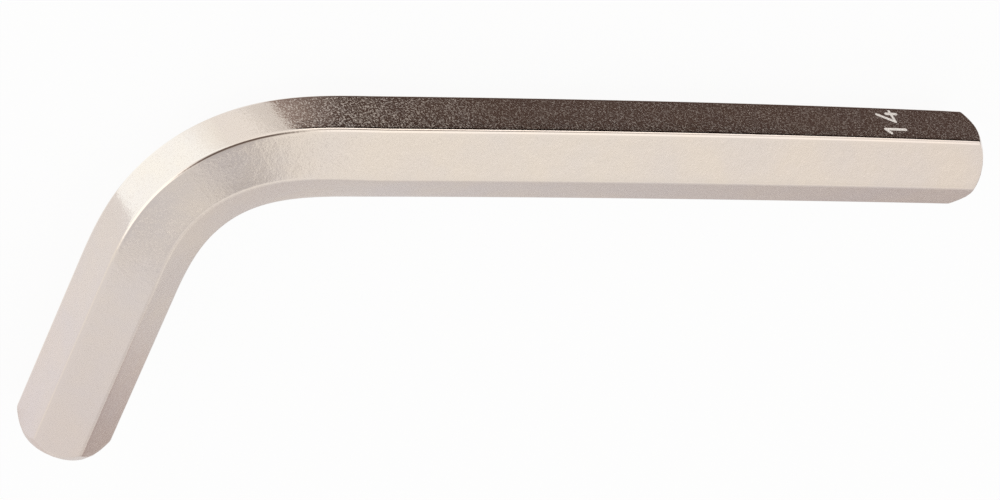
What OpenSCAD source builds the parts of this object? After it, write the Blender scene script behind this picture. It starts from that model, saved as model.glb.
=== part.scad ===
/* [Key] */
// Width across the flats of the hexagon
across_flats = 14; // [8:0.5:20]
// Length of the long arm, from the outer flat of the short arm to its end
long_arm = 154; // [110:1:300]
// Length of the short arm, from the outer flat of the long arm to its end
short_arm = 70; // [55:1:105]

/* [Bend] */
// Radius of the inner flat round the bend
bend_inner_r = 16; // [8:0.5:24]

/* [Edges] */
// Radius of the rounding along each corner of the hexagon
corner_r = 0.9; // [0.2:0.1:1.5]
// Depth that the long arm's end chamfer takes off each corner, measured at the end face
long_chamfer = 1.2; // [0.3:0.1:3]
// Angle between the long arm's end chamfer and its axis
long_chamfer_angle = 45; // [25:1:60]
// Depth that the short arm's end chamfer takes off each corner, measured at the end face
short_chamfer = 1.7; // [0.3:0.1:3]
// Angle between the short arm's end chamfer and its axis
short_chamfer_angle = 33; // [25:1:60]

/* [Finish] */
// Facets of a full turn in the quick view
facets = 96; // [48:12:180]

/* [Hidden] */
$fn = facets;

SIDES = 6;
SIDE_ANGLE = 360 / SIDES;
BEND_ANGLE = 90;
// Reach of the turned envelope past the bar that it trims
CLEARANCE = 2;
// Height of each corner's rounding over its two flats, so that they cross cleanly
LAP = 0.0001;

// Distance from the bar's axis to the centre of a corner's rounding
corner_centre_d = (across_flats / 2 - corner_r) / cos(SIDE_ANGLE / 2);
// Half the width across the rounded corners, which is the axis's height when the key lies flat
corner_reach = corner_centre_d + corner_r + LAP;
// Radius of the bar's axis round the bend
bend_axis_r = bend_inner_r + across_flats / 2;
// Distance from each arm's outer flat to the centre of the bend
bend_centre = across_flats / 2 + bend_axis_r;

// Section of the bar: flats to the left and right, corners at the top and bottom
module hex_section() {
    flats = [
        for (side = [0:SIDES - 1], end = [-1, 1])
            let (turn = side * SIDE_ANGLE, centre = turn + end * SIDE_ANGLE / 2)
                corner_centre_d * [cos(centre), sin(centre)] + corner_r * [cos(turn), sin(turn)]
    ];
    polygon(flats);
    for (side = [0:SIDES - 1])
        rotate((side + 0.5) * SIDE_ANGLE)
            translate([corner_centre_d, 0])
                circle(r = corner_r + LAP);
}

// Turned shape that chamfers the end of a bar of this length, standing on the bar's start
module end_envelope(length, depth, angle) {
    face_r = corner_reach - depth;
    outer_r = corner_reach + CLEARANCE;
    slope = tan(angle);
    rotate_extrude()
        polygon([
            [0, -CLEARANCE],
            [outer_r, -CLEARANCE],
            [outer_r, length - (outer_r - face_r) / slope],
            [face_r - CLEARANCE * slope, length + CLEARANCE],
            [0, length + CLEARANCE]
        ]);
}

// Straight bar that stands on its start, with the chamfered end up
module straight_bar(length, depth, angle) {
    intersection() {
        linear_extrude(length)
            hex_section();
        end_envelope(length, depth, angle);
    }
}

// Quarter turn of the bar round the centre of the bend
module bend() {
    rotate([0, 0, BEND_ANGLE])
        rotate_extrude(angle = BEND_ANGLE)
            translate([bend_axis_r, 0])
                hex_section();
}

// Bent bar, lying on its lower corners, centred over the origin
module hex_key() {
    color([0.80, 0.77, 0.73])
        translate([-long_arm / 2, short_arm / 2, corner_reach])
            union() {
                translate([bend_centre, -across_flats / 2, 0])
                    rotate([90, 0, 90])
                        straight_bar(long_arm - bend_centre, long_chamfer, long_chamfer_angle);
                translate([bend_centre, -bend_centre, 0])
                    bend();
                translate([across_flats / 2, -bend_centre, 0])
                    rotate([90, 0, 0])
                        straight_bar(short_arm - bend_centre, short_chamfer, short_chamfer_angle);
            }
}

hex_key();
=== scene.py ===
import math

import bpy
import numpy as np
from mathutils import Matrix, Vector


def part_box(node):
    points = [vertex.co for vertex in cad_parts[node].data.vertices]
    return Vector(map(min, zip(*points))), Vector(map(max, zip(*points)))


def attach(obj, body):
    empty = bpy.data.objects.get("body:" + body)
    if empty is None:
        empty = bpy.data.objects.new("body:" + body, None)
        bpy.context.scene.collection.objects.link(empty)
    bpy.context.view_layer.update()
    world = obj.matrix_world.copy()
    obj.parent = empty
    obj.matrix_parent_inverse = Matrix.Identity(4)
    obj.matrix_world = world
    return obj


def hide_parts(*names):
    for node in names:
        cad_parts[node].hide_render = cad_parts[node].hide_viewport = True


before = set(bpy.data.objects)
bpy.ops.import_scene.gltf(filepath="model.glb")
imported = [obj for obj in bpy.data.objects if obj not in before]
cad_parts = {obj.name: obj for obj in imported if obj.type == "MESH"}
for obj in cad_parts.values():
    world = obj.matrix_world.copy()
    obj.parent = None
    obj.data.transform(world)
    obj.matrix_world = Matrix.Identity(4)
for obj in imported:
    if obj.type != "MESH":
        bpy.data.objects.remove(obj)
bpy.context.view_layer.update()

MM = 0.001

# Sizes of the key, from the frame and from the photograph
LOW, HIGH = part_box("hex_key")
OUTER_X = LOW.x
OUTER_Y = HIGH.y
MID_Z = (LOW.z + HIGH.z) / 2
FLATS = 14 * MM
HALF = FLATS / 2
LONG_ARM = 153.5 * MM
SHORT_ARM = 69.24 * MM
CORNER_R = 0.9 * MM

# The bend: the curvature grows and fades over a ramp on each side of its tightest place.
# The long arm also bows a little, and it is twisted a little from the bend to this far out
TIGHTEST_R = 16.265 * MM
LONG_RAMP = 29.48 * MM
SHORT_RAMP = 19.34 * MM
BEND_ANGLE = math.radians(89.33)
ARM_BOW = 0.415 * MM
ARM_TWIST = math.radians(0.25)
TWIST_FROM_X = 100 * MM

# How much the bar differs from its nominal size: on the long arm up to here, at its end, on the short arm
LONG_GROWTH = 0.011
EVEN_TO_X = 85 * MM
END_GROWTH = -0.010
SHORT_GROWTH = 0.005

# Height of the bar's axis when its thickest part lies on the floor
REST_Z = MID_Z * (1 + LONG_GROWTH)

# How the section is squeezed at full curvature, from the inner flat (-1) to the outer flat (+1)
SHIFT_OUT = (0.04 * MM, 0.255 * MM, -0.557 * MM)
WIDEN = (-0.116, -0.133, 0.098)

# End chamfers: radius of the flat face, slope of the cone, tilt of the short end's cut, edge rounding
LONG_FACE_R = 6.747 * MM
LONG_SLOPE = 0.987
SHORT_FACE_R = 6.26 * MM
SHORT_SLOPE = 0.653
SHORT_TILT = (0.17 * MM, 0.36 * MM)
EDGE_ROUND = 0.22 * MM

# A rounding takes at most this share of a line. An end's lines start at this share of its face's
# radius, and they run this far along the flank
ROUND_SHARE = 0.45
FACE_SHARE = 0.6
FLANK_REACH = 1 * MM

# How finely the mesh is cut
ARC_STEPS = 8
FLAT_STEPS = 6
BEND_RINGS = 96
PATH_STEPS = 8
LONG_RINGS = 60
SHORT_RINGS = 20
EDGE_STEPS = 4
END_CLEAR = 5 * MM
ON_FLAT = 0.0001 * MM

# The size number stamped into the outer flat near the long end: strokes as (across, up) in digit heights.
# The foot is how far the number's lower edge lies from the end, and the centres are heights on the flat
STAMP_FOOT = 15.3 * MM
DIGIT_HEIGHT = 4.1 * MM
DIGIT_CENTRES = (1.5 * MM, -1.7 * MM)
DIGITS = (
    [[(-0.24, 0.82), (0.0, 1.0), (0.0, 0.0)]],
    [[(0.18, 0.0), (0.18, 0.5)], [(0.12, 0.98), (-0.3, 0.26), (0.34, 0.26)]],
)
STROKE_WIDTH = 0.54 * MM
STROKE_DEPTH = 0.24 * MM
STAMP_STEP = 0.11 * MM
STAMP_STEPS = 64

# How far each corner is burnished, anticlockwise from the upper outer one, and the flat that is stamped
CORNER_POLISH = (1.0, 0.2, 0.6, 0.6, 0.2, 1.0)
SIDES = len(CORNER_POLISH)
STAMPED_SIDE = SIDES - 1


def smooth_ramp(t):
    """0 below 0, 1 above 1, and a smooth rise between."""
    t = np.clip(t, 0, 1)
    return t * t * (3 - 2 * t)


def rounded_hexagon():
    """The section as rows of (outward, upward), anticlockwise from the upper outer corner."""
    half_turn = math.pi / SIDES
    centre_r = (HALF - CORNER_R) / math.cos(half_turn)
    arcs = []
    for corner in range(SIDES):
        angle = half_turn * (1 + 2 * corner)
        centre = centre_r * np.array([math.cos(angle), math.sin(angle)])
        turn = angle + np.linspace(-half_turn, half_turn, ARC_STEPS + 1)
        arcs.append(centre + CORNER_R * np.column_stack([np.cos(turn), np.sin(turn)]))
    points = []
    for corner in range(SIDES):
        start = arcs[corner][-1]
        end = arcs[(corner + 1) % SIDES][0]
        share = smooth_ramp(np.linspace(0, 1, FLAT_STEPS + 1))[1:-1]
        if corner == STAMPED_SIDE:
            share = np.linspace(0, 1, STAMP_STEPS + 1)[1:-1]
        points.append(arcs[corner])
        points.append(start + (end - start) * share[:, None])
    return np.vstack(points)


def corner_share():
    """How burnished each point of the section is, in the order of rounded_hexagon: the flats aren't."""
    shares = []
    for corner, share in enumerate(CORNER_POLISH):
        shares += [share] * (ARC_STEPS + 1)
        shares += [0.0] * ((STAMP_STEPS if corner == STAMPED_SIDE else FLAT_STEPS) - 1)
    return np.array(shares)


def bend_path():
    """Length along the bend, its curve from the long arm on, its heading and share of full curvature."""
    length = BEND_ANGLE * TIGHTEST_R + (LONG_RAMP + SHORT_RAMP) / 2
    s = np.linspace(0, length, BEND_RINGS * PATH_STEPS + 1)
    share = smooth_ramp(s / LONG_RAMP) * smooth_ramp((length - s) / SHORT_RAMP)
    step = s[1]

    def running(values):
        return np.r_[0, np.cumsum((values[1:] + values[:-1]) / 2 * step)]

    heading = running(share / TIGHTEST_R)
    x = running(-np.cos(heading))
    y = running(-np.sin(heading))
    keep = slice(None, None, PATH_STEPS)
    return s[keep], x[keep], y[keep], heading[keep], share[keep]


def long_arm_steps(start_x):
    """Places of the rings along the long arm, close together where the number is stamped."""
    first = LONG_ARM - STAMP_FOOT + STROKE_WIDTH
    last = first - DIGIT_HEIGHT - 2 * STROKE_WIDTH
    coarse = np.linspace(LONG_ARM - END_CLEAR, start_x, LONG_RINGS + 1)[:-1]
    fine = np.arange(first, last, -STAMP_STEP)
    return [*coarse[coarse > first], *fine, *coarse[coarse < last]]


def stations():
    """Each ring's centre, heading, bend share, twist and growth, from the long end to the short end."""
    s, x, y, heading, share = bend_path()
    start_x = HALF - x[-1]
    rows = []
    half_arm = (LONG_ARM - start_x) / 2
    for along in [LONG_ARM, *long_arm_steps(start_x)]:
        bow = ARM_BOW * (1 - ((along - start_x - half_arm) / half_arm) ** 2)
        twist = ARM_TWIST * smooth_ramp((TWIST_FROM_X - along) / (TWIST_FROM_X - start_x))
        taper = max(0.0, (along - EVEN_TO_X) / (LONG_ARM - EVEN_TO_X)) ** 2
        growth = LONG_GROWTH + (END_GROWTH - LONG_GROWTH) * taper
        rows.append((along, -HALF + bow, 0.0, 0.0, twist, growth))
    for i in range(len(s)):
        done = s[i] / s[-1]
        growth = LONG_GROWTH + (SHORT_GROWTH - LONG_GROWTH) * done
        rows.append((start_x + x[i], -HALF + y[i], heading[i], share[i], ARM_TWIST * (1 - done), growth))
    end_x, end_y = rows[-1][:2]
    final = heading[-1]
    rest = (SHORT_ARM + end_y) / math.sin(final)
    for along in [*np.linspace(0, rest - END_CLEAR, SHORT_RINGS + 1)[1:], rest]:
        x, y = end_x - along * math.cos(final), end_y - along * math.sin(final)
        rows.append((x, y, final, 0.0, 0.0, SHORT_GROWTH))
    return rows


def place(section, station, back=None, side=1):
    """Points of one ring, with the section squeezed and turned, moved by back times side along the bar."""
    x, y, heading, share, twist, growth = station
    out, up = section[:, 0] * (1 + growth), section[:, 1] * (1 + growth)
    where = out / HALF
    out = out + share * (SHIFT_OUT[0] + SHIFT_OUT[1] * where + SHIFT_OUT[2] * where**2)
    up = up * (1 + share * (WIDEN[0] + WIDEN[1] * where + WIDEN[2] * where**2))
    cos, sin = math.cos(twist), math.sin(twist)
    out, up = out * cos - up * sin, out * sin + up * cos
    ahead = np.array([-math.cos(heading), -math.sin(heading)])
    outward = np.array([-math.sin(heading), math.cos(heading)])
    flat = np.array([x, y]) + out[:, None] * outward
    if back is not None:
        flat = flat + side * back[:, None] * ahead
    return np.column_stack([flat + [OUTER_X, OUTER_Y], up + REST_Z])


def rounded_line(corners):
    """Points of a broken line with its inner corners rounded by a short curve."""
    points = [corners[0]]
    for before, corner, after in zip(corners, corners[1:], corners[2:]):
        start = corner + (before - corner) * min(ROUND_SHARE, EDGE_ROUND / np.linalg.norm(before - corner))
        end = corner + (after - corner) * min(ROUND_SHARE, EDGE_ROUND / np.linalg.norm(after - corner))
        for t in np.linspace(0, 1, EDGE_STEPS + 1):
            points.append((1 - t) ** 2 * start + 2 * t * (1 - t) * corner + t**2 * end)
    return points + [corners[-1]]


def end_rings(section, station, face_r, slope, side, tilt=(0, 0)):
    """Rings from the middle of an end's flat face, over the chamfer, to the arm's flanks.

    Tilt is how far the cut falls back at the outer flat and at the top, if it isn't square."""
    reach = np.hypot(section[:, 0], section[:, 1])
    lines = []
    for r in reach:
        cut = (r - face_r) / slope
        lines.append(
            rounded_line(
                [
                    np.array([face_r * FACE_SHARE, 0]),
                    np.array([face_r, 0]),
                    np.array([r, cut]),
                    np.array([r, cut + FLANK_REACH]),
                ]
            )
        )
    lines = np.array(lines)
    rings = []
    for k in range(lines.shape[1]):
        ring = section * (lines[:, k, 0] / reach)[:, None]
        rings.append(place(ring, station, lines[:, k, 1] + ring @ tilt / HALF, side))
    return rings


def distance_to(line, points):
    """How far each point lies from a broken line."""
    nearest = np.full(len(points), np.inf)
    for start, end in zip(line, line[1:]):
        run = end - start
        gap = points - start
        share = np.clip(gap @ run / (run @ run), 0, 1)
        nearest = np.minimum(nearest, np.linalg.norm(gap - share[:, None] * run, axis=1))
    return nearest


def stamp_depth(along, up):
    """Depth of the stamped number at each height of the outer flat, at one place along the long arm."""
    rise = LONG_ARM - STAMP_FOOT - along
    points = np.column_stack([up, np.full(len(up), rise)])
    nearest = np.full(len(up), np.inf)
    for centre, strokes in zip(DIGIT_CENTRES, DIGITS):
        for stroke in strokes:
            mirrored = [np.array([-across, high]) for across, high in stroke]
            line = [np.array([centre, 0]) + DIGIT_HEIGHT * point for point in mirrored]
            nearest = np.minimum(nearest, distance_to(line, points))
    return STROKE_DEPTH * np.clip(1 - (nearest / (STROKE_WIDTH / 2)) ** 2, 0, 1)


def key_mesh():
    """The bent bar as one closed mesh."""
    section = rounded_hexagon()
    rows = stations()
    long_end = end_rings(section, rows[0], LONG_FACE_R, LONG_SLOPE, 1)
    short_end = end_rings(section, rows[-1], SHORT_FACE_R, SHORT_SLOPE, -1, SHORT_TILT)
    body = []
    matt = [np.zeros(len(section)) for ring in long_end]
    for row in rows[1:-1]:
        depth = np.zeros(len(section))
        if row[0] > LONG_ARM / 2:
            flat = section[:, 0] > HALF - ON_FLAT
            depth[flat] = stamp_depth(row[0], section[flat, 1])
        matt.append(depth / STROKE_DEPTH)
        body.append(place(section - np.column_stack([depth, 0 * depth]), row))
    matt += [np.zeros(len(section)) for ring in short_end]
    rings = long_end + body + short_end[::-1]
    count = len(section)
    points = np.vstack(rings + [rings[0].mean(axis=0), rings[-1].mean(axis=0)])
    first_hub = len(points) - 2
    faces = []
    for i in range(len(rings) - 1):
        for j in range(count):
            k = (j + 1) % count
            faces.append((i * count + j, i * count + k, (i + 1) * count + k, (i + 1) * count + j))
    last = (len(rings) - 1) * count
    for j in range(count):
        k = (j + 1) % count
        faces.append((first_hub, k, j))
        faces.append((first_hub + 1, last + j, last + k))
    mesh = bpy.data.meshes.new("hex_key_body")
    mesh.from_pydata([tuple(p) for p in points], [], faces)
    mesh.validate()
    mesh.shade_smooth()
    burnished = np.tile(corner_share(), len(rings))
    for name, shares in (("corner", burnished), ("stamp", np.concatenate(matt))):
        values = mesh.attributes.new(name, "FLOAT", "POINT")
        values.data.foreach_set("value", [*shares, 0.0, 0.0])
    return mesh


def node(tree, kind, **inputs):
    """A new shader node with its sockets set; an underscore stands for a space in a socket's name."""
    made = tree.nodes.new(kind)
    for name, value in inputs.items():
        made.inputs[name.replace("_", " ")].default_value = value
    return made


def put(tree, setting, socket):
    """Sets a socket to a number or a colour, or links it to another node's socket."""
    if isinstance(setting, bpy.types.NodeSocket):
        tree.links.new(setting, socket)
    else:
        socket.default_value = setting


def blend(tree, share, below, gain):
    """below, multiplied by gain as far as share says."""
    mix = tree.nodes.new("ShaderNodeMix")
    mix.data_type = "RGBA"
    mix.blend_type = "MULTIPLY"
    tree.links.new(share, mix.inputs["Factor"])
    put(tree, (*below, 1) if isinstance(below, tuple) else below, mix.inputs[6])
    put(tree, (*gain, 1), mix.inputs[7])
    return mix.outputs[2]


def mix_numbers(tree, share, first, second):
    """first where share is 0, second where it is 1."""
    mix = tree.nodes.new("ShaderNodeMix")
    for name, setting in (("Factor", share), ("A", first), ("B", second)):
        put(tree, setting, mix.inputs[name])
    return mix.outputs["Result"]


def ramp(tree, value, start, end, low, high):
    """low up to start, high from end on, and an even change between."""
    made = tree.nodes.new("ShaderNodeMapRange")
    settings = {"Value": value, "From Min": start, "From Max": end, "To Min": low, "To Max": high}
    for name, setting in settings.items():
        put(tree, setting, made.inputs[name])
    return made


def noise(tree, place_at, scale, detail, roughness):
    """How high a noise is at each place."""
    made = node(tree, "ShaderNodeTexNoise", Scale=scale, Detail=detail, Roughness=roughness)
    tree.links.new(place_at, made.inputs["Vector"])
    return made.outputs["Fac"]


def bump(tree, height, distance, strength, below=None):
    """The normal over a relief of this depth, on top of the relief below."""
    made = node(tree, "ShaderNodeBump", Distance=distance)
    put(tree, strength, made.inputs["Strength"])
    tree.links.new(height, made.inputs["Height"])
    if below is not None:
        tree.links.new(below, made.inputs["Normal"])
    return made.outputs["Normal"]


def math_node(tree, operation, *values):
    """The result of a Math node; each value is a number or a socket."""
    made = tree.nodes.new("ShaderNodeMath")
    made.operation = operation
    for k, value in enumerate(values):
        put(tree, value, made.inputs[k])
    return made.outputs[0]


def along_axis(tree, position, axis):
    """How far a position lies along an axis."""
    made = tree.nodes.new("ShaderNodeVectorMath")
    made.operation = "DOT_PRODUCT"
    made.inputs[1].default_value = axis
    tree.links.new(position, made.inputs[0])
    return made.outputs["Value"]


def mesh_value(tree, name):
    """One of the values that the mesh carries at its points."""
    made = tree.nodes.new("ShaderNodeAttribute")
    made.attribute_name = name
    return made.outputs["Fac"]


def fresh_material(name):
    """A new material with an empty node tree: the material, its tree and its output node."""
    material = bpy.data.materials.new(name)
    material.use_nodes = True
    tree = material.node_tree
    tree.nodes.clear()
    return material, tree, tree.nodes.new("ShaderNodeOutputMaterial")


# Scales are per metre and lengths in metres from here to the end of the material.
# Two close tints cloud into each other
CLOUD_SCALE = 90.0
TINTS = ((0.38, (0.785, 0.708, 0.655)), (0.62, (0.81, 0.721, 0.642)))

# The plate turns a little browner towards an end: axis, and the places where that starts and is full
END_TINT = (("X", 0.0, 0.077), ("Y", 0.005, -0.030))
END_COLOUR = (0.985, 0.965, 0.965)

# The noises are turned, so that no flat of the key lies along their grid
NOISE_TURN = (0.5, 0.3, 0.2)

# The stamped number is matt, and its near-white colour is a painted highlight, from this share of its full
# depth on
STAMP_FROM = 0.2
STAMP_PAINTED_HIGHLIGHT = (0.99, 0.95, 0.91)
STAMP_METAL = 0.1
STAMP_ROUGHNESS = 0.75

# Pits: the noise that starts and fills one, what is left of them on a burnished edge, and their roughness
PIT_SCALE = 3400.0
PIT_NOISE = (0.48, 0.66)
PIT_ON_EDGE = 0.12
PIT_ROUGHNESS = 0.36

# How metallic the pits are: on the bend and short arm, at the long arm's start, along it, and on the
# upper flats
BEND_METAL = 0.85
START_METAL = 0.30
LONG_METAL = 0.79
UPPER_METAL = 0.95
BEND_TO_START_X = (-0.063, -0.057)
START_TO_LONG_X = (-0.047, -0.015)

# The upper flats begin over these heights, and they are softer than the others
UPPER_Z = (0.0115, 0.0135)
FLAT_ROUGHNESS = 0.13
UPPER_ROUGHNESS = 0.21
EDGE_ROUGHNESS = 0.1

# Swell, grinding marks and grain: scale and depth
SWELL_SCALE = 600.0
SWELL_DEPTH = 0.00006
MARK_DEPTH = 0.000018
MARK_FADE_X = (-0.02, 0.01)
MARK_STRENGTH = (0.8, 0.1)
GRAIN_SCALE = 3000.0
GRAIN_DEPTH = 0.000032

# How often the grinding marks change across and along their direction
STREAK_ACROSS = Vector((0.815, 0.502, -0.29)) * 1500
STREAK_ALONG = Vector((0.58, -0.706, 0.407)) * 170


def plate_colour(tree, parts, turned):
    """Nickel in two close tints, browner towards both ends."""
    tint = tree.nodes.new("ShaderNodeValToRGB")
    for element, (position, colour) in zip(tint.color_ramp.elements, TINTS):
        element.position = position
        element.color = (*colour, 1)
    tree.links.new(noise(tree, turned, CLOUD_SCALE, 3.0, 0.55), tint.inputs["Fac"])
    plate = tint.outputs["Color"]
    for axis, clean, worn in END_TINT:
        share = ramp(tree, parts[axis], clean, worn, 0.0, 1.0).outputs["Result"]
        plate = blend(tree, share, plate, END_COLOUR)
    return plate


def nickel_material():
    """Satin nickel plating over blasted steel."""
    material, tree, out = fresh_material("satin_nickel")
    shader = tree.nodes.new("ShaderNodeBsdfPrincipled")
    tree.links.new(shader.outputs["BSDF"], out.inputs["Surface"])
    place_at = tree.nodes.new("ShaderNodeTexCoord").outputs["Object"]
    split = tree.nodes.new("ShaderNodeSeparateXYZ")
    tree.links.new(place_at, split.inputs["Vector"])
    parts = split.outputs
    skew = node(tree, "ShaderNodeMapping", Rotation=NOISE_TURN)
    tree.links.new(place_at, skew.inputs["Vector"])
    turned = skew.outputs["Vector"]

    # The stamped strokes get a matt finish and a near-white colour; the colour is a painted highlight
    pressed = ramp(tree, mesh_value(tree, "stamp"), 0.0, STAMP_FROM, 0.0, 1.0).outputs["Result"]
    plate_and_stroke_highlight = tree.nodes.new("ShaderNodeMix")
    plate_and_stroke_highlight.data_type = "RGBA"
    tree.links.new(pressed, plate_and_stroke_highlight.inputs["Factor"])
    tree.links.new(plate_colour(tree, parts, turned), plate_and_stroke_highlight.inputs[6])
    plate_and_stroke_highlight.inputs[7].default_value = (*STAMP_PAINTED_HIGHLIGHT, 1)
    tree.links.new(plate_and_stroke_highlight.outputs[2], shader.inputs["Base Color"])

    corner = mesh_value(tree, "corner")
    bite = ramp(tree, corner, 0.0, 1.0, 1.0, PIT_ON_EDGE).outputs["Result"]
    pits = ramp(tree, noise(tree, turned, PIT_SCALE, 1.0, 0.6), *PIT_NOISE, 0.0, bite).outputs["Result"]
    long_metal = ramp(tree, parts["X"], *START_TO_LONG_X, START_METAL, LONG_METAL).outputs["Result"]
    side_metal = ramp(tree, parts["X"], *BEND_TO_START_X, BEND_METAL, long_metal).outputs["Result"]
    pit_metal = ramp(tree, parts["Z"], *UPPER_Z, side_metal, UPPER_METAL).outputs["Result"]
    metal = ramp(tree, pits, 0.0, 1.0, 1.0, pit_metal).outputs["Result"]
    tree.links.new(mix_numbers(tree, pressed, metal, STAMP_METAL), shader.inputs["Metallic"])

    smooth = ramp(tree, parts["Z"], *UPPER_Z, FLAT_ROUGHNESS, UPPER_ROUGHNESS).outputs["Result"]
    haze = ramp(tree, pits, 0.0, 1.0, smooth, PIT_ROUGHNESS).outputs["Result"]
    rough = mix_numbers(tree, corner, haze, EDGE_ROUGHNESS)
    tree.links.new(mix_numbers(tree, pressed, rough, STAMP_ROUGHNESS), shader.inputs["Roughness"])

    swell = bump(tree, noise(tree, turned, SWELL_SCALE, 2.0, 0.5), SWELL_DEPTH, bite)
    stretched = tree.nodes.new("ShaderNodeCombineXYZ")
    tree.links.new(along_axis(tree, place_at, STREAK_ACROSS), stretched.inputs["X"])
    tree.links.new(along_axis(tree, place_at, STREAK_ALONG), stretched.inputs["Y"])
    streak = noise(tree, stretched.outputs["Vector"], 1.0, 1.0, 0.5)
    faint = ramp(tree, parts["X"], *MARK_FADE_X, *MARK_STRENGTH).outputs["Result"]
    ground = bump(tree, streak, MARK_DEPTH, faint, swell)
    grain = bump(tree, noise(tree, turned, GRAIN_SCALE, 2.0, 0.6), GRAIN_DEPTH, bite, ground)
    tree.links.new(grain, shader.inputs["Normal"])
    return material


def add(name, mesh, material):
    """A new object of the scene."""
    made = bpy.data.objects.new(name, mesh)
    bpy.context.scene.collection.objects.link(made)
    mesh.materials.clear()
    mesh.materials.append(material)
    return made


def build_key():
    """The key's looks, in place of the plain solid."""
    nickel = nickel_material()
    body = add("hex_key_body", key_mesh(), nickel)
    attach(body, "root")
    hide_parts("hex_key")
    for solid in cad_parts.values():
        solid.data.materials.clear()
        solid.data.materials.append(nickel)


# Camera: place, aim and roll, from the fit of the key's outline in the photograph
CAMERA_PLACE = Vector((-440.98, 493.74, 546.86)) * MM
CAMERA_RIGHT = Vector((0.8572, 0.3509, 0.3769))
CAMERA_BACK = Vector((-0.5149, 0.5751, 0.6358))
FRAME_WIDTH_PX = 1000
FOCAL_PX = 5226.6
SENSOR_WIDTH = 36.0
CLIP = (0.05, 50.0)


def set_camera():
    """A long lens above the key, rolled as the photograph is."""
    data = bpy.data.cameras.new("camera")
    data.sensor_width = SENSOR_WIDTH
    data.lens = FOCAL_PX / FRAME_WIDTH_PX * SENSOR_WIDTH
    data.clip_start, data.clip_end = CLIP
    camera = bpy.data.objects.new("camera", data)
    bpy.context.scene.collection.objects.link(camera)
    back = CAMERA_BACK.normalized()
    right = (CAMERA_RIGHT - CAMERA_RIGHT.dot(back) * back).normalized()
    up = back.cross(right)
    turn = Matrix((right, up, back)).transposed().to_4x4()
    camera.matrix_world = Matrix.Translation(CAMERA_PLACE) @ turn
    bpy.context.scene.camera = camera


def plane(name, corners):
    """A flat sheet with these corners."""
    mesh = bpy.data.meshes.new(name)
    mesh.from_pydata([tuple(corner) for corner in corners], [], [tuple(range(len(corners)))])
    return mesh


def on_floor(corners, z):
    """These places in plan, at height z."""
    return [(x, y, z) for x, y in corners]


# The paper's own white, and how far it is lifted to full white; the rest keeps the key's shadow
FLOOR_WHITE = 0.95
FLOOR_GLOW = 0.93


def floor_material():
    """Matt white paper, lifted to the backdrop's white where the camera or the metal sees it."""
    material, tree, out = fresh_material("white_paper")
    paper = node(tree, "ShaderNodeBsdfDiffuse", Color=(FLOOR_WHITE, FLOOR_WHITE, FLOOR_WHITE, 1))
    glow = tree.nodes.new("ShaderNodeEmission")
    rays = tree.nodes.new("ShaderNodeLightPath").outputs
    seen = math_node(tree, "MAXIMUM", rays["Is Camera Ray"], rays["Is Glossy Ray"])
    seen = math_node(tree, "MAXIMUM", seen, rays["Is Transmission Ray"])
    mix = tree.nodes.new("ShaderNodeMixShader")
    tree.links.new(math_node(tree, "MULTIPLY", seen, FLOOR_GLOW), mix.inputs["Fac"])
    tree.links.new(paper.outputs["BSDF"], mix.inputs[1])
    tree.links.new(glow.outputs["Emission"], mix.inputs[2])
    tree.links.new(mix.outputs["Shader"], out.inputs["Surface"])
    return material


def card_material(name, near, far, start, reach):
    """A card that shows in the metal only; its colour goes from near to far over a reach from start."""
    material, tree, out = fresh_material(name)
    glow = node(tree, "ShaderNodeEmission", Strength=1.0)
    place_at = tree.nodes.new("ShaderNodeTexCoord")
    away = tree.nodes.new("ShaderNodeVectorMath")
    away.operation = "SUBTRACT"
    away.inputs[1].default_value = start
    tree.links.new(place_at.outputs["Object"], away.inputs[0])
    along = along_axis(tree, away.outputs["Vector"], Vector(reach) / Vector(reach).length_squared)
    fade = tree.nodes.new("ShaderNodeValToRGB")
    fade.color_ramp.elements[0].color = (*near, 1)
    fade.color_ramp.elements[1].color = (*far, 1)
    tree.links.new(along, fade.inputs["Fac"])
    tree.links.new(fade.outputs["Color"], glow.inputs["Color"])
    tree.links.new(glow.outputs["Emission"], out.inputs["Surface"])
    return material


def only_in_reflections(card):
    """A studio card out of the picture: it shapes the reflections and lights nothing."""
    card.visible_camera = False
    card.visible_diffuse = False
    card.visible_shadow = False
    card.visible_transmission = False
    card.visible_volume_scatter = False


# Half the floor's side in metres, the cards' height over it, and how far the long cards reach
FLOOR_HALF = 3.0
CARD_Z = 0.3 * MM
CARD_REACH = 400 * MM


def heading(azimuth):
    """Unit vector on the floor, azimuth in degrees from +X."""
    return Vector((math.cos(math.radians(azimuth)), math.sin(math.radians(azimuth))))


def from_corner(x, y):
    """A place on the floor, in mm from the key's outer corner."""
    return Vector((OUTER_X + x * MM, OUTER_Y + y * MM))


def box_corners(first, last):
    """The four corners of a rectangle on the floor, from one corner to the opposite one."""
    return [first, (last[0], first[1]), last, (first[0], last[1])]


def card(name, corners, near, far, reach):
    """One studio card, fading from its first corner along reach."""
    made = add(name, plane(name, corners), card_material(name, near, far, corners[0], (*reach, 0.0)))
    only_in_reflections(made)


# The cards behind the long arm: where their left edge starts and heads, and the rows that part them, in mm
DARK_START = (20.8, 0)
DARK_HEADING = 65
DARK_ROWS = (11, 42, 202)
DARK_FADE_HEADING = -25
SOFT_WIDTH = 6 * MM

# The bright card beside the bend: its two inner corners in mm, and where its sides head
BRIGHT_CORNERS = ((12.5, -4), (1, -21))
BRIGHT_HEADINGS = (112, 198)
BRIGHT_FADE = 9 * MM * heading(200)

# The cards round the rest of the key: corners in mm, and the flag's span in height
LEFT_CORNER = (-2, -18)
LEFT_EDGE_END = -60
GREY_GAP = 4
FOOT_CORNERS = ((-4, -71), (22, -150))
FLAG_ENDS = ((63, -84), (63, -190))
FLAG_TOP = 60 * MM


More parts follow.
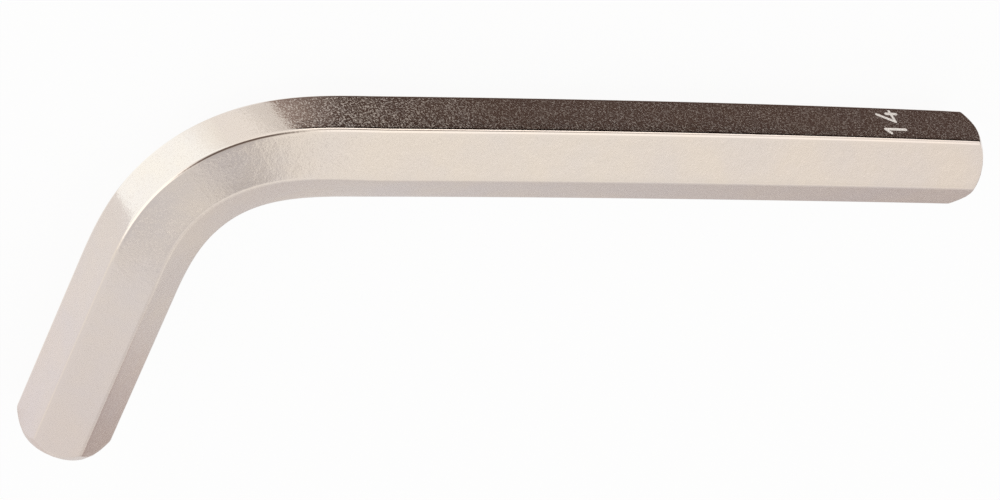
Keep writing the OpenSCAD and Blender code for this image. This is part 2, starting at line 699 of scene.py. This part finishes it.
def dark_cards():
    """What the outer flat of the long arm and the edge above it see: dark near by, bright farther out."""
    start = from_corner(*DARK_START)
    edge = heading(DARK_HEADING)
    right = CARD_REACH / 2
    rows = [OUTER_Y + row * MM for row in DARK_ROWS]
    near, far = (start + edge * (y - OUTER_Y) / edge.y for y in rows[:2])
    fade = heading(DARK_FADE_HEADING)

    dark = [start, (right, start.y), (right, rows[0]), near]
    card("dark_card", on_floor(dark, CARD_Z), (0.35, 0.28, 0.258), (0.085, 0.058, 0.05), 12.5 * MM * fade)
    aside = Vector((SOFT_WIDTH, 0))
    soft = [start - aside, start, far, far - aside]
    card("soft_card", on_floor(soft, CARD_Z), (0.90, 0.895, 0.88), (0.80, 0.79, 0.78), aside)
    shade = [near, (right, rows[0]), (right, rows[1]), far]
    card("shade_card", on_floor(shade, CARD_Z), (0.03, 0.018, 0.014), (0.008, 0.005, 0.004), 22 * MM * fade)
    ridge = box_corners(far, (right, rows[2]))
    card("ridge_card", on_floor(ridge, CARD_Z), (2.3, 2.2, 2.1), (1.5, 1.45, 1.4), (190 * MM, 0))


def pale_cards():
    """What the bend, the short arm and the inner side see."""
    first, last = (from_corner(*corner) for corner in BRIGHT_CORNERS)
    reaches = [CARD_REACH * heading(azimuth) for azimuth in BRIGHT_HEADINGS]
    bright = [first, first + reaches[0], last + reaches[1], last]
    card("bright_card", on_floor(bright, CARD_Z), (0.97, 0.97, 0.955), (1.19, 1.25, 1.26), BRIGHT_FADE)

    left = box_corners(from_corner(*LEFT_CORNER), (-CARD_REACH, -CARD_REACH))
    left[1] = (-CARD_REACH, from_corner(0, LEFT_EDGE_END).y)
    card("left_card", on_floor(left, CARD_Z / 2), (0.87, 0.865, 0.865), (0.89, 0.89, 0.925), (0, -30 * MM))

    inner = Vector((OUTER_X + FLATS + GREY_GAP * MM, OUTER_Y - FLATS - GREY_GAP * MM))
    grey = box_corners(inner, (CARD_REACH, -CARD_REACH))
    card("grey_card", on_floor(grey, CARD_Z), (0.81, 0.81, 0.825), (0.51, 0.46, 0.455), (190 * MM, 0))

    foot = box_corners(*(from_corner(*corner) for corner in FOOT_CORNERS))
    card("foot_card", on_floor(foot, CARD_Z), (0.78, 0.74, 0.73), (0.78, 0.74, 0.73), (1, 0))

    near, far = (from_corner(*end) for end in FLAG_ENDS)
    flag = [(*near, CARD_Z), (*far, CARD_Z), (*far, FLAG_TOP), (*near, FLAG_TOP)]
    card("end_flag", flag, (0.66, 0.61, 0.605), (0.48, 0.42, 0.415), (0, -25 * MM))


def build_stage():
    """The floor, and the cards that the metal reflects."""
    square = box_corners((-FLOOR_HALF, -FLOOR_HALF), (FLOOR_HALF, FLOOR_HALF))
    add("floor", plane("floor", on_floor(square, 0.0)), floor_material())
    dark_cards()
    pale_cards()


# What the metal sees of the tent above: each panel's azimuth and elevation, the angles from there where it
# stops being full and where it is gone, and its gain
TENT = (0.965, 0.957, 0.932)
PANELS = {
    "ceiling": (93, 81, 5, 16, (0.62, 0.615, 0.65)),
    "back_ceiling": (-150, 66, 14, 19, (0.81, 0.81, 0.825)),
    "right_side": (0, 40, 10, 24, (0.90, 0.90, 0.89)),
    "low_side": (-100, 35, 30, 52, (0.89, 0.895, 0.935)),
    "inner_side": (-48, 0, 15, 38, (0.76, 0.75, 0.77)),
    "edge_light": (56, 38, 11, 21, (1.3, 1.3, 1.3)),
    "bend_light": (105, 0, 14, 22, (1.35, 1.35, 1.35)),
    "left_light": (170, 28, 28, 36, (1.5, 1.5, 1.5)),
    "ridge_side": (-75, 42, 14, 26, (0.88, 0.87, 0.86)),
    "horizon": (64, 11, 5, 10, (0.35, 0.31, 0.29)),
}

# A dark rail at this elevation, that fades over this width, and the angles from its middle where it ends
RAIL_ELEVATION = 38
RAIL_WIDTH = 46
RAIL_AZIMUTH = 112
RAIL_SPAN = (18, 42)
RAIL_GAIN = (0.12, 0.08, 0.07)


def soft_step(tree, value, start, end, low, high):
    """low before start, high after end, and a smooth change between."""
    made = ramp(tree, value, start, end, low, high)
    made.interpolation_type = "SMOOTHSTEP"
    return made.outputs["Result"]


def cosines(angles):
    """The cosines of angles in degrees."""
    return [math.cos(math.radians(angle)) for angle in angles]


def towards(tree, direction, azimuth, elevation):
    """How nearly a direction points at that azimuth and elevation: the cosine between them."""
    flat = math.cos(math.radians(elevation))
    aim = (*(flat * heading(azimuth)), math.sin(math.radians(elevation)))
    return along_axis(tree, direction, aim)


def build_light():
    """Even soft light from a white tent, with a few panels and gaps."""
    world = bpy.data.worlds.new("tent")
    world.use_nodes = True
    bpy.context.scene.world = world
    tree = world.node_tree
    direction = tree.nodes.new("ShaderNodeTexCoord").outputs["Generated"]
    tent = TENT
    for azimuth, elevation, inside, outside, gain in PANELS.values():
        near = towards(tree, direction, azimuth, elevation)
        tent = blend(tree, soft_step(tree, near, *cosines((outside, inside)), 0.0, 1.0), tent, gain)
    height = towards(tree, direction, 0, 90)
    above_rail = math_node(tree, "SUBTRACT", height, math.sin(math.radians(RAIL_ELEVATION)))
    off_rail = math_node(tree, "ABSOLUTE", above_rail)
    rail = soft_step(tree, off_rail, 0.0, math.radians(RAIL_WIDTH), 1.0, 0.0)
    sideways = towards(tree, direction, RAIL_AZIMUTH, RAIL_ELEVATION)
    span = soft_step(tree, sideways, *cosines(RAIL_SPAN[::-1]), 0.0, 1.0)
    tent = blend(tree, math_node(tree, "MULTIPLY", rail, span), tent, RAIL_GAIN)
    tree.links.new(tent, tree.nodes["Background"].inputs["Color"])


set_camera()
build_key()
build_stage()
build_light()

view = bpy.context.scene.view_settings
view.view_transform = "Standard"
